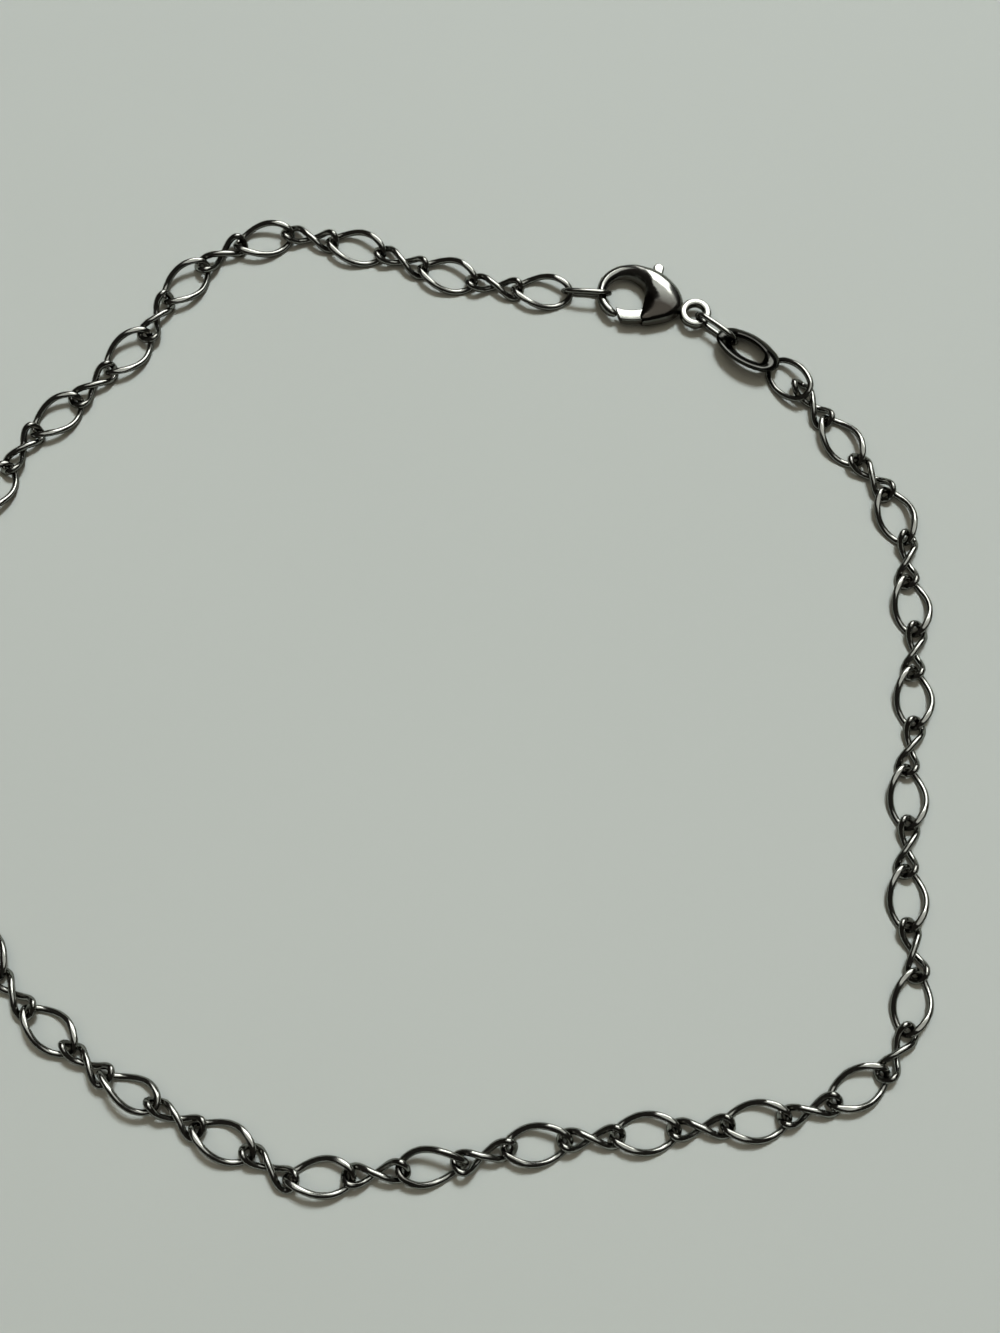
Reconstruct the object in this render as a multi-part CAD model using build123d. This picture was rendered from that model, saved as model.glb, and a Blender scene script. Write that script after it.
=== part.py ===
from build123d import *
import math
import os

# Chain anklet, lying fastened in one loop on a flat surface. Millimetres and degrees.
# The origin is on the surface, under the middle of the whole loop's box. +Z is up, +Y points to the
# side of the loop that the clasp is on, and +X to the right of it.

# Chain ------------------------------------------------------------------------------------------
WIRE = 0.50                 # wire of every chain link, diameter
OVAL_LENGTH = 5.14          # oval link, over all
OVAL_WIDTH = 3.12
OVAL_TWIST = 45.0           # turn of each end against the middle, right-handed
OVAL_THICKNESS = 1.32       # the twisted link is ground flat to this, top and bottom
SMALL_LENGTH = 4.90         # small figure-eight link, over all
SMALL_WAIST = 0.66          # between its two strands where they cross
SMALL_BELLY = 4.2           # how much wider than the waist its lobes are
SMALL_TWIST = 135.0         # turn of each end against the crossing, right-handed
OVAL_STATIONS = 8           # arcs in pairs follow each centre line, two for each station
SMALL_STATIONS = 12

HIDDEN_LINKS = 6            # oval links on the far side of the loop, on one plain arc
HIDDEN_PITCH = 7.68         # from one to the next along that arc
SMALL_GROUP = 5             # small links in one part, along the chain

LOOP_MIDDLE = (-6.028, -0.494)   # the box's middle, in the places listed below

# Rings and tag link: over-all length and width, wire, centre-line radius of the end bends ---------
HOOK_RING = dict(length=4.14, width=2.46, wire=0.42, bend=0.95)
EYE_RING = dict(length=4.24, width=2.44, wire=0.44, bend=0.92)
END_RING = dict(length=4.60, width=3.05, wire=0.48, bend=1.05)
TAG_LENGTH = 5.60
TAG_WIDTH = 3.70
TAG_BAND = 1.28             # width of its domed band
TAG_THICKNESS = 0.72
TAG_BEND = 0.95

# Where the rings, the tag link and the chain's first small link lie: middle, heading, roll, rise
HOOK_RING_PLACE = ((6.965, 31.70, 1.155), -5.5, -65.0, 3.2)
EYE_RING_PLACE = ((17.329, 28.344, 1.208), -38.6, 100.6, -0.3)
TAG_PLACE = ((19.765, 26.414, 1.242), -38.6, -10.9, 3.1)
END_RING_PLACE = ((22.974, 23.907, 0.971), -52.2, 22.2, 14.8)
FIRST_SMALL_LINK = ((24.672, 21.948, 0.752), -58.4, -8.9, -1.3)

# Lobster clasp, in its own frame: origin in the middle of the hook's round, +X to the eye ----------
CLASP_PLACE = (10.20, 31.45)
CLASP_TURN = -9.0
CLASP_HEIGHT = 1.20         # middle plane above the surface
OPENING_RADIUS = 1.47
ARM_RADIUS = 2.05           # centre line of the hook's arm
EYE_PLACE = (5.68, -0.86)
EYE_OUTER = 1.27
EYE_HOLE = 0.65
EYE_THICKNESS = 0.70
EYE_EDGE = 0.14             # rounding of the eye's edges
PIVOT = (2.60, -0.40)
BOSS_RADIUS = 0.66
NUB = (2.26, 2.42)
NUB_RADIUS = 0.44
NUB_ARM_HALF_WIDTH = 0.35
PIN_RADIUS = 0.28
PIN_HALF_LENGTH = 0.80
PIN_PRESS_GAP = 0.01        # pin to body
PIN_RUN_GAP = 0.04          # pin to lever
PIN_END_GAP = 0.02          # pin to each end of its bore
LEVER_THICKNESS = 0.80
LEVER_TRAVEL = 22.0         # swing of the gate into the opening
SLOT_SIDE_GAP = 0.06        # lever to slot, each side
SLOT_EDGE_GAP = 0.12        # lever's outline to the slot's, all round
SLOT_STEPS = 4              # turns in which the lever's outline is swung to make the slot
GATE_START = (-1.30, -1.68)  # middle line of the gate, an arc through three points
GATE_MIDDLE = (0.55, -1.93)
GATE_HEEL = (2.45, -1.15)
GATE_HALF_WIDTH = 0.43
GATE_TIP_RADIUS = 3.42      # gate's end from the pivot
GATE_TIP_GAP = 0.06
BULB_CORNER = (1.40, -0.90)  # the bulb is cut away left of and below this, where the gate runs
ARM_CUT_TOP = -1.0          # the arm is cut to the gate's swing below this
CUTTER = 6.0                # side of a cutting box, longer than half the clasp

# Oval links from the clasp's far end of the chain round to its hook. Columns: x and y of the middle,
# heading along the chain, roll about it, and roll of the small link that follows
# (None: half-way between its neighbours).
RIGHT_AND_NEAR_LINKS = [
    (26.85, 18.65, -57, 5, 8),
    (30.65, 12.10, -71, 12, -5),
    (31.40, 4.70, -85, 0, None),
    (31.05, -2.75, -92, 0, None),
    (30.05, -10.50, -92, 0, None),
    (29.50, -18.10, -91, 0, None),
    (29.30, -25.67, -102, 0, 0),
    (25.13, -31.69, -151, 0, None),
    (17.85, -34.00, -172, 0, None),
    (10.10, -34.80, -174, 0, -4),
    (2.56, -35.60, -172, -10, -21),
    (-4.68, -37.08, -173, -34.5, -9),
    (-12.45, -37.79, 182.5, 15, 8),
    (-19.25, -35.30, 156.7, 11.6, 26),
    (-25.95, -31.86, 150.8, 38.4, 26),
    (-31.86, -27.59, 140.2, 12.4, 8),
]
FAR_LINKS = [
    (-35.02, 20.73, 43, 3.5, 23),
    (-29.68, 26.37, 49, 10.7, 23),
    (-25.41, 32.73, 48.3, 11.4, 10),
    (-19.27, 36.77, 14.8, 8.6, 8),
    (-11.73, 36.07, -14, 10, 10),
    (-4.25, 33.50, -16, 9, None),
    (3.40, 32.00, -5, 5, None),
]

# Sections of the clasp's body along its X: x, middle, half width, half height
BULB_SECTIONS = [
    (0.60, 0.10, 2.36, 0.72),
    (1.60, 0.10, 2.38, 1.02),
    (2.40, 0.05, 2.20, 1.16),
    (3.30, -0.10, 1.68, 1.08),
    (4.00, -0.24, 1.12, 0.86),
    (4.50, -0.33, 0.66, 0.62),
    (4.85, -0.40, 0.30, 0.40),
]
# Sections of the hook's arm round the opening: angle, half width in the clasp's plane, half height
ARM_SECTIONS = [
    (46, 0.62, 0.74),
    (70, 0.58, 0.68),
    (95, 0.53, 0.62),
    (120, 0.48, 0.57),
    (145, 0.43, 0.53),
    (170, 0.39, 0.50),
    (195, 0.37, 0.48),
    (220, 0.36, 0.46),
    (250, 0.35, 0.44),
    (275, 0.35, 0.42),
]


# Centre lines -----------------------------------------------------------------------------------
def oval_point(t):
    """Ellipse whose width turns about the long axis in step with the distance from the middle."""
    along = math.cos(t)
    width = (OVAL_WIDTH - WIRE) / 2 * math.sin(t)
    turn = math.radians(OVAL_TWIST) * along
    return Vector((OVAL_LENGTH - WIRE) / 2 * along, width * math.cos(turn), width * math.sin(turn))


def small_point(t):
    """Waisted loop, stood on edge at its waist and turned about the long axis towards each end."""
    along = math.cos(t)
    width = SMALL_WAIST / 2 * math.sin(t) * (1 + SMALL_BELLY * along**2)
    turn = math.radians(90 + SMALL_TWIST * along * (3 - along**2) / 2)
    return Vector((SMALL_LENGTH - WIRE) / 2 * along, width * math.cos(turn), width * math.sin(turn))


def heading_at(point, t):
    step = 1e-5
    return (point(t + step) - point(t - step)).normalized()


def arc_joint(start, start_heading, end, end_heading):
    """Point where the two arcs that join two points with given headings meet, tangent to each other."""
    span = end - start
    both = start_heading + end_heading
    bend = 1 - start_heading.dot(end_heading)
    reach = (math.sqrt(span.dot(both) ** 2 + 2 * bend * span.dot(span)) - span.dot(both)) / (2 * bend)
    return (start + start_heading * reach + end - end_heading * reach) * 0.5


def closed_tube(arcs, section, x_dir=None):
    """Solid from a section carried round a closed row of tangent arcs, without a wall at each joint."""
    faces = []
    for arc in arcs:
        start = Plane(origin=arc @ 0, x_dir=x_dir, z_dir=arc % 0)
        swept = sweep(start * section, path=Wire([arc]))
        faces += [face for face in swept.faces() if face.geom_type != GeomType.PLANE]
    return Solid(Shell(faces))


def twisted_link(point, stations):
    steps = [2 * math.pi * i / stations for i in range(stations + 1)]
    arcs = []
    for here, there in zip(steps, steps[1:]):
        start, end = point(here), point(there)
        start_heading, end_heading = heading_at(point, here), heading_at(point, there)
        joint = arc_joint(start, start_heading, end, end_heading)
        first = TangentArc(start, joint, tangent=start_heading)
        arcs += [first, TangentArc(joint, end, tangent=first % 1)]
    return closed_tube(arcs, Circle(WIRE / 2))


def oval_arcs(half_length, half_width, bend):
    """Four tangent arcs: two ends of radius bend, and two sides whose radius makes them meet."""
    reach = half_length - bend
    side = (reach**2 + half_width**2 - bend**2) / (2 * (half_width - bend))
    half_end = math.degrees(math.atan2(side - half_width, reach))
    half_side = 90 - half_end
    return [
        CenterArc((reach, 0), bend, -half_end, 2 * half_end),
        CenterArc((0, half_width - side), side, half_end, 2 * half_side),
        CenterArc((-reach, 0), bend, 180 - half_end, 2 * half_end),
        CenterArc((0, side - half_width), side, 180 + half_end, 2 * half_side),
    ]


def jump_ring(length, width, wire, bend):
    arcs = oval_arcs((length - wire) / 2, (width - wire) / 2, bend)
    return closed_tube(arcs, Circle(wire / 2))


def tag_link():
    arcs = oval_arcs((TAG_LENGTH - TAG_BAND) / 2, (TAG_WIDTH - TAG_BAND) / 2, TAG_BEND)
    return closed_tube(arcs, Ellipse(TAG_THICKNESS / 2, TAG_BAND / 2), x_dir=(0, 0, 1))


# Clasp ------------------------------------------------------------------------------------------
def lofted(planes, half_sizes):
    return loft([plane * Ellipse(*half) for plane, half in zip(planes, half_sizes)])


def bulb():
    planes = [
        Plane(origin=(x, middle, 0), x_dir=(0, 1, 0), z_dir=(1, 0, 0)) for x, middle, _, _ in BULB_SECTIONS
    ]
    return lofted(planes, [(wide, high) for _, _, wide, high in BULB_SECTIONS])


def hook_arm():
    planes = []
    for angle, _, _ in ARM_SECTIONS:
        out = Vector(math.cos(math.radians(angle)), math.sin(math.radians(angle)))
        planes.append(Plane(origin=out * ARM_RADIUS, x_dir=out, z_dir=out.cross(Vector(0, 0, -1))))
    return lofted(planes, [(wide, high) for _, wide, high in ARM_SECTIONS])


def lever_outline(grow=0.0):
    """Gate, pivot boss, nub arm and thumb nub, all wider by grow on each side."""
    gate = trace(ThreePointArc(GATE_START, GATE_MIDDLE, GATE_HEEL), 2 * (GATE_HALF_WIDTH + grow))
    heel = Pos(*GATE_HEEL) * Circle(GATE_HALF_WIDTH + grow)
    boss = Pos(*PIVOT) * Circle(BOSS_RADIUS + grow)
    nub_arm = trace(Line(PIVOT, NUB), 2 * (NUB_ARM_HALF_WIDTH + grow))
    nub = Pos(*NUB) * Circle(NUB_RADIUS + grow)
    return gate + heel + boss + nub_arm + nub


def about_pivot(angle):
    return Pos(*PIVOT) * Rot(Z=-angle) * Pos(-PIVOT[0], -PIVOT[1])


def slab(outline, thickness):
    return extrude(outline, thickness / 2, both=True)


def lever_slot():
    """The lever's own outline, grown a little and swung through its travel."""
    reach = Pos(*PIVOT) * Circle(GATE_TIP_RADIUS + GATE_TIP_GAP)
    outline = lever_outline(SLOT_EDGE_GAP) & reach
    swept = outline
    for i in range(1, SLOT_STEPS + 1):
        swept = swept + about_pivot(LEVER_TRAVEL * i / SLOT_STEPS) * outline
    return slab(swept, LEVER_THICKNESS + 2 * SLOT_SIDE_GAP)


def clasp_body():
    bulb_corner = Box(CUTTER, CUTTER, CUTTER, align=(Align.MAX, Align.MAX, Align.CENTER))
    body = bulb() - Cylinder(OPENING_RADIUS, CUTTER) - Pos(*BULB_CORNER, 0) * bulb_corner
    arm_side = Box(CUTTER, CUTTER, CUTTER, align=(Align.CENTER, Align.MAX, Align.CENTER))
    tip_swing = Pos(*PIVOT) * Cylinder(GATE_TIP_RADIUS + GATE_TIP_GAP, CUTTER)
    arm = hook_arm() - (tip_swing & Pos(0, ARM_CUT_TOP, 0) * arm_side)
    eye = slab(Circle(EYE_OUTER), EYE_THICKNESS)
    eye = fillet(eye.edges(), EYE_EDGE)
    body = body + arm + Pos(*EYE_PLACE) * eye
    body = body - Pos(*EYE_PLACE) * Cylinder(EYE_HOLE, CUTTER)
    body = body - lever_slot()
    return body - Pos(*PIVOT) * Cylinder(PIN_RADIUS + PIN_PRESS_GAP, 2 * (PIN_HALF_LENGTH + PIN_END_GAP))


def clasp_lever():
    reach = Pos(*PIVOT) * slab(Circle(GATE_TIP_RADIUS), LEVER_THICKNESS)
    lever = slab(lever_outline(), LEVER_THICKNESS) & reach
    return lever - Pos(*PIVOT) * Cylinder(PIN_RADIUS + PIN_RUN_GAP, 2 * PIN_HALF_LENGTH)


def clasp_pin():
    return Pos(*PIVOT) * Cylinder(PIN_RADIUS, 2 * PIN_HALF_LENGTH)


# Layout -----------------------------------------------------------------------------------------
def pose(centre, heading, roll, rise=0.0):
    return Pos(*centre) * Rot(Z=heading) * Rot(Y=-rise) * Rot(X=roll)


def lowest(shape):
    return shape.bounding_box(optimal=True).min.Z


def hidden_links():
    """Evenly spaced rows on the one arc of the hidden stretch's length that joins its two ends.

    Half the arc's angle is found by halving a range: the chord is to the arc as its sine is to it."""
    first = Vector(*RIGHT_AND_NEAR_LINKS[-1][:2])
    last = Vector(*FAR_LINKS[0][:2])
    chord = last - first
    length = HIDDEN_PITCH * (HIDDEN_LINKS + 1)
    low, high = 0.01, 3.0
    for _ in range(50):
        half = (low + high) / 2
        if chord.length * half / math.sin(half) < length:
            low = half
        else:
            high = half
    radius = chord.length / 2 / math.sin(half)
    across = Vector(chord.Y, -chord.X).normalized()
    middle = (first + last) * 0.5 + across * radius * math.cos(half)
    start = math.atan2(first.Y - middle.Y, first.X - middle.X)
    rows = []
    for i in range(1, HIDDEN_LINKS + 1):
        angle = start - 2 * half * i / (HIDDEN_LINKS + 1)
        x, y = middle.X + radius * math.cos(angle), middle.Y + radius * math.sin(angle)
        rows.append((x, y, math.degrees(angle) - 90, 0, None))
    return rows


def placed_between(shape, start, end, roll):
    """Shape put half-way between two points, its X from one to the other, on or above the surface."""
    span = end - start
    heading = math.degrees(math.atan2(span.Y, span.X))
    rise = math.degrees(math.asin(span.Z / span.length))
    middle = (start + end) * 0.5
    place = pose(middle, heading, roll, rise)
    lift = max(0.0, -lowest(place * shape))
    return Pos(0, 0, lift) * place


def chain():
    """Every oval link in order, and the small links between them, each as a placed solid."""
    oval = twisted_link(oval_point, OVAL_STATIONS)
    oval = (oval & Box(2 * OVAL_LENGTH, 2 * OVAL_WIDTH, OVAL_THICKNESS)).solids()[0]
    small = twisted_link(small_point, SMALL_STATIONS)
    half = (OVAL_LENGTH - WIRE) / 2
    rows = RIGHT_AND_NEAR_LINKS + hidden_links() + FAR_LINKS
    places = []
    for x, y, heading, roll, _ in rows:
        height = -lowest(Rot(X=roll) * oval)
        places.append(pose((x, y, height), heading, roll))
    starts = [(place * Pos(-half, 0, 0)).position for place in places]
    ends = [(place * Pos(half, 0, 0)).position for place in places]
    smalls = []
    for i in range(len(rows) - 1):
        roll = rows[i][4]
        if roll is None:
            roll = (rows[i][3] + rows[i + 1][3]) / 2
        smalls.append(placed_between(small, ends[i], starts[i + 1], roll) * small)
    smalls.insert(0, pose(*FIRST_SMALL_LINK) * small)
    return [place * oval for place in places], smalls


def nodes():
    ovals, smalls = chain()
    parts = {}
    for i, link in enumerate(ovals, start=1):
        parts[f"oval_link_{i:02d}"] = link
    for i in range(0, len(smalls), SMALL_GROUP):
        group = smalls[i:i + SMALL_GROUP]
        parts[f"small_links_{i // SMALL_GROUP + 1}"] = Compound(children=group)
    place = Pos(*CLASP_PLACE, CLASP_HEIGHT) * Rot(Z=CLASP_TURN)
    parts["clasp_body"] = place * clasp_body()
    parts["clasp_lever"] = place * clasp_lever()
    parts["clasp_pin"] = place * clasp_pin()
    parts["hook_ring"] = pose(*HOOK_RING_PLACE) * jump_ring(**HOOK_RING)
    parts["eye_ring"] = pose(*EYE_RING_PLACE) * jump_ring(**EYE_RING)
    parts["tag_link"] = pose(*TAG_PLACE) * tag_link()
    parts["end_ring"] = pose(*END_RING_PLACE) * jump_ring(**END_RING)
    return parts


def main():
    os.makedirs("parts", exist_ok=True)
    to_origin = Pos(-LOOP_MIDDLE[0], -LOOP_MIDDLE[1], 0)
    for name, shape in nodes().items():
        export_step(to_origin * shape, f"parts/{name}.step")


main()
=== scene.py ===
import math

import bpy
import numpy as np
from mathutils import Matrix, Vector


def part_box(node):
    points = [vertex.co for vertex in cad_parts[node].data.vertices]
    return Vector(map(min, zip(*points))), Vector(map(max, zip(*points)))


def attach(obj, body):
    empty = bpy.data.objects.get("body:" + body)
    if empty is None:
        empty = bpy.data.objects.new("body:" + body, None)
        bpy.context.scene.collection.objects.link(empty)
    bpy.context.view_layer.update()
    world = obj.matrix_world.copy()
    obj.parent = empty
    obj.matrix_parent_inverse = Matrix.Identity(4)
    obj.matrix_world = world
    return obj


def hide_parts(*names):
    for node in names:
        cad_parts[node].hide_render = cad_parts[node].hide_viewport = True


bl_info = {
    "name": "Chain anklet",
    "version": (1, 0, 0),
    "blender": (4, 5, 0),
    "location": "View3D > Sidebar > Anklet",
    "description": "Builds a silver ankle chain of twisted links with its rings and lobster clasp",
    "category": "Add Mesh",
}

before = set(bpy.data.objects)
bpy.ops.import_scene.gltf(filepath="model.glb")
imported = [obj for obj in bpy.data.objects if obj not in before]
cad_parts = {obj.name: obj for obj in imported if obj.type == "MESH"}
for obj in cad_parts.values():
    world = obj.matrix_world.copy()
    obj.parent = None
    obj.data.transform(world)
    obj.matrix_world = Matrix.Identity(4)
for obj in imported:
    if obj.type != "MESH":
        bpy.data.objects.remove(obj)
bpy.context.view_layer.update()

MM = 0.001
CHAIN_BODY = "anklet"
LEVER_BODY = "lever"
OVAL_NODES = sorted(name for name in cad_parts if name.startswith("oval_link_"))
SMALL_NODES = sorted(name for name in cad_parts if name.startswith("small_links_"))
VIEW_MIDDLE = (6.028, 0.494)    # where the camera and the lights point, in millimetres from the origin
FLOOR_HALF_SIDE = 1.5           # metres
SENSOR_WIDTH = 36.0             # camera's, in millimetres
NEAREST_SEEN = 0.01             # nothing closer to the camera than this is drawn, in metres


# Sizes and finishes a user may change ------------------------------------------------------------
def length(name, description, millimetres):
    """A length property, given in millimetres and kept in metres."""
    return bpy.props.FloatProperty(
        name=name, description=description, default=millimetres * MM, min=0.0, precision=5, unit="LENGTH")


def share(name, description, value):
    """A property from 0 to 1."""
    return bpy.props.FloatProperty(
        name=name, description=description, default=value, min=0.0, max=1.0, subtype="FACTOR")


def colour(name, description, red, green, blue):
    """A linear colour property."""
    return bpy.props.FloatVectorProperty(
        name=name, description=description, default=(red, green, blue),
        min=0.0, max=1.0, size=3, subtype="COLOR")


def turn(name, description, degrees):
    """An angle property, given in degrees and kept in radians."""
    return bpy.props.FloatProperty(
        name=name, description=description, default=math.radians(degrees), subtype="ANGLE")


def number(name, description, value):
    """A plain number property."""
    return bpy.props.FloatProperty(name=name, description=description, default=value)


class AnkletChainSettings(bpy.types.PropertyGroup):
    """Sizes of the chain's links."""

    wire: length("Wire", "Diameter of every link's wire", 0.50)
    oval_length: length("Oval length", "Oval link over all", 5.14)
    oval_width: length("Oval width", "Oval link over all", 3.12)
    oval_twist: turn("Oval twist", "Turn of each end of an oval link against its middle", 45.0)
    oval_thickness: length("Ground thickness", "The oval link is ground flat to this", 1.32)
    ground_edge: length("Ground edge", "Rounding where the ground flat meets the wire", 0.06)
    small_length: length("Small length", "Figure-eight link over all", 4.90)
    small_waist: length("Small waist", "Figure-eight link between its strands where they cross", 0.66)
    small_belly: number("Small belly", "How much wider than its waist the figure-eight link's lobes are", 4.2)
    small_twist: turn("Small twist", "Turn of each end of a figure-eight link against its crossing", 135.0)
    steps_along: bpy.props.IntProperty(
        name="Steps along", description="Faces along a link's wire", default=128)
    steps_round: bpy.props.IntProperty(
        name="Steps round", description="Faces round a link's wire", default=20)


class AnkletRingSettings(bpy.types.PropertyGroup):
    """Sizes of the three rings and the tag link."""

    hook_ring_wire: length("Hook ring wire", "Wire of the ring on the clasp's hook", 0.42)
    hook_ring_bend: length("Hook ring bend", "Radius of its end bends", 0.95)
    eye_ring_wire: length("Eye ring wire", "Wire of the ring in the clasp's eye", 0.44)
    eye_ring_bend: length("Eye ring bend", "Radius of its end bends", 0.92)
    end_ring_wire: length("End ring wire", "Wire of the ring at the chain's end", 0.48)
    end_ring_bend: length("End ring bend", "Radius of its end bends", 1.05)
    tag_band: length("Tag band", "Width of the tag link's domed band", 1.28)
    tag_slope: turn("Tag slope", "How far the tag link's face slopes down across its width", 36.0)
    tag_bend: length("Tag bend", "Radius of the tag link's ends, at the middle of its band", 0.95)


class AnkletClaspSettings(bpy.types.PropertyGroup):
    """Sizes of the lobster clasp, in its own frame: the hook's round in the middle, X to the eye."""

    heading: turn("Heading", "Turn of the clasp on the surface", -9.0)
    eye_outer: length("Eye radius", "Outer radius of the eye", 1.27)
    eye_hole: length("Eye hole", "Radius of the eye's hole", 0.65)
    eye_thickness: length("Eye thickness", "Thickness of the eye", 0.70)
    lever_thickness: length("Lever thickness", "Thickness of the gate and its nub", 0.80)
    gate_width: length("Gate width", "Width of the gate", 0.98)
    gate_reach: length("Gate reach", "From the pivot to the gate's end", 3.42)
    slot_width: length("Slot width", "Width of the slot that the lever swings in", 0.92)


class AnkletFinishSettings(bpy.types.PropertyGroup):
    """Colours and polish of the metal."""

    metal: colour("Metal", "Colour of the polished metal", 0.29, 0.297, 0.272)
    # the dark colour of painted shade underneath, on sideways faces and across the bulb, and of the tarnish in
    # the joints
    shade_and_tarnish: colour("Tarnish", "Colour of the metal inside the joints and underneath", 0.05, 0.045, 0.038)
    polish: share("Polish", "Roughness of the best polished metal", 0.10)
    handling: share("Handling", "Roughness where handling has dulled it", 0.20)


class AnkletStageSettings(bpy.types.PropertyGroup):
    """Floor, lights and camera."""

    floor: colour("Floor", "Colour of the floor", 0.555, 0.592, 0.555)
    sky: share("Sky", "Strength of the light from all round", 0.03)
    key: number("Key light", "Power of the main light in watts", 3.2)
    fill: number("Fill light", "Power of the soft light overhead in watts", 2.52)
    window: number("Window card", "Power of the white card mirrored in the metal, in watts", 4.2)
    ceiling: number("Ceiling card", "Power of the grey card mirrored in the metal, in watts", 1.7)
    lens: number("Lens", "Focal length in millimetres", 54.0)
    tilt: turn("Tilt", "How far from straight down the camera looks", 20.0)
    distance: length("Distance", "From the camera to the surface along its view", 151.5)


# Reading the frame -------------------------------------------------------------------------------
def corners_of(name):
    """Corner points of a CAD node's mesh, in metres."""
    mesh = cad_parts[name].data
    points = np.empty(len(mesh.vertices) * 3)
    mesh.vertices.foreach_get("co", points)
    return points.reshape(-1, 3)


def triangles(name):
    """Middle and area of each triangle of a CAD node, in metres."""
    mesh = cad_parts[name].data
    points = corners_of(name)
    mesh.calc_loop_triangles()
    corners = np.empty(len(mesh.loop_triangles) * 3, np.int32)
    mesh.loop_triangles.foreach_get("vertices", corners)
    a, b, c = points[corners.reshape(-1, 3)].transpose(1, 0, 2)
    area = np.linalg.norm(np.cross(b - a, c - a), axis=1) / 2
    return (a + b + c) / 3, area


def own_axes(middles, areas):
    """Centre of a surface, and its axes as columns: the longest first, the thinnest last, right-handed.

    They are the main axes of its second moments."""
    centre = (middles * areas[:, None]).sum(0) / areas.sum()
    offset = middles - centre
    moments = (offset * areas[:, None]).T @ offset
    values, axes = np.linalg.eigh(moments)
    axes = axes[:, ::-1].copy()
    if np.linalg.det(axes) < 0:
        axes[:, 2] *= -1
    return centre, axes


def sizes_along(name, axes):
    """How far a CAD node reaches along each of three axes, over all."""
    along = corners_of(name) @ axes
    return along.max(0) - along.min(0)


def lean_of_lobes(middles, areas, centre, axes):
    """Turn of a figure-eight link about its long axis.

    Seen along that axis its two lobes lean opposite ways. So the moments of x(yy - zz) and of 2xyz,
    taken as a direction, point at twice the turn and a right angle more."""
    x, y, z = ((middles - centre) @ axes).T
    straight = (areas * x * (y**2 - z**2)).sum()
    mixed = (areas * x * 2 * y * z).sum()
    return (math.atan2(mixed, straight) - math.pi / 2) / 2


def upright(axes):
    """The same axes, each turned over if needed so that the first points right and the last up."""
    first = axes[:, 0] * np.sign(axes[0, 0])
    last = axes[:, 2] * np.sign(axes[2, 2])
    return np.stack([first, np.cross(last, first), last], 1)


def turned(axes, angle):
    """Axes turned about their own first one."""
    cos, sin = math.cos(angle), math.sin(angle)
    return axes @ np.array([[1, 0, 0], [0, cos, -sin], [0, sin, cos]])


# Making meshes -----------------------------------------------------------------------------------
def grid_faces(rows, columns, closed_rows, closed_columns):
    """Four-cornered faces of a grid of points, wrapped round where a side is closed."""
    i = np.arange(rows if closed_rows else rows - 1)[:, None]
    j = np.arange(columns if closed_columns else columns - 1)[None, :]
    here, next_row = i * columns, (i + 1) % rows * columns
    next_column = (j + 1) % columns
    faces = np.stack([here + j, here + next_column, next_row + next_column, next_row + j], axis=-1)
    return faces.reshape(-1, 4)


def cap_faces(ring, middle, outward):
    """Triangles from a ring of point numbers to one in the middle."""
    following = np.roll(ring, -1)
    fan = np.stack([ring, following, np.full_like(ring, middle)], axis=1)
    return fan if outward else fan[:, ::-1]


class Shape:
    """Points in metres, faces, and a value for each point of painted shade and tarnish: 0 bright polished
    metal, 1 fully darkened.
    """

    def __init__(self, points, quads, triangles=None, wear=None):
        self.points = points.reshape(-1, 3)
        self.quads = quads
        self.triangles = np.zeros((0, 3), int) if triangles is None else triangles
        self.wear = np.zeros(len(self.points)) if wear is None else wear.reshape(-1)

    def placed(self, centre, axes):
        """The shape with its own axes and centre set to these."""
        return Shape(self.points @ axes.T + centre, self.quads, self.triangles, self.wear)

    def facing_out(self):
        """The shape with all faces turned over if it encloses a negative volume."""
        corners = self.points[self.quads]
        volume = np.einsum("ij,ij->i", np.cross(corners[:, 0], corners[:, 1]), corners[:, 2]).sum()
        volume += np.einsum("ij,ij->i", np.cross(corners[:, 0], corners[:, 2]), corners[:, 3]).sum()
        ends = self.points[self.triangles]
        volume += np.einsum("ij,ij->i", np.cross(ends[:, 0], ends[:, 1]), ends[:, 2]).sum()
        if volume < 0:
            return Shape(self.points, self.quads[:, ::-1], self.triangles[:, ::-1], self.wear)
        return self


def joined(shapes):
    """Several shapes as one."""
    starts = np.cumsum([0] + [len(shape.points) for shape in shapes[:-1]])
    return Shape(
        np.concatenate([shape.points for shape in shapes]),
        np.concatenate([shape.quads + start for shape, start in zip(shapes, starts)]),
        np.concatenate([shape.triangles + start for shape, start in zip(shapes, starts)]),
        np.concatenate([shape.wear for shape in shapes]),
    )


def paint_shade_below(mesh):
    """Paints shade on points that face sideways or down by raising their wear value.

    It grows in proportion as the normal drops from a bit over half upright to level."""
    normals = np.empty(len(mesh.vertices) * 3)
    mesh.vertex_normals.foreach_get("vector", normals)
    # painted shade: the lower the normal points, the darker the metal is painted
    below = np.clip((0.58 - normals[2::3]) / 0.5, 0, 1)
    wear = np.zeros(len(mesh.vertices), np.float32)
    mesh.attributes["wear"].data.foreach_get("value", wear)
    mesh.attributes["wear"].data.foreach_set("value", np.maximum(wear, below).astype(np.float32))


def add_object(name, shape, material):
    """A smooth-shaded object with the shape's mesh, its painted shade and tarnish kept as a point attribute.
    """
    mesh = bpy.data.meshes.new(name)
    mesh.from_pydata(shape.points.tolist(), [], shape.quads.tolist() + shape.triangles.tolist())
    mesh.attributes.new("wear", "FLOAT", "POINT").data.foreach_set("value", shape.wear.astype(np.float32))
    mesh.polygons.foreach_set("use_smooth", np.ones(len(mesh.polygons), bool))
    mesh.materials.append(material)
    if mesh.validate():
        raise RuntimeError(f"{name} has a broken mesh")
    paint_shade_below(mesh)
    piece = bpy.data.objects.new(name, mesh)
    bpy.context.scene.collection.objects.link(piece)
    return piece


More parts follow.
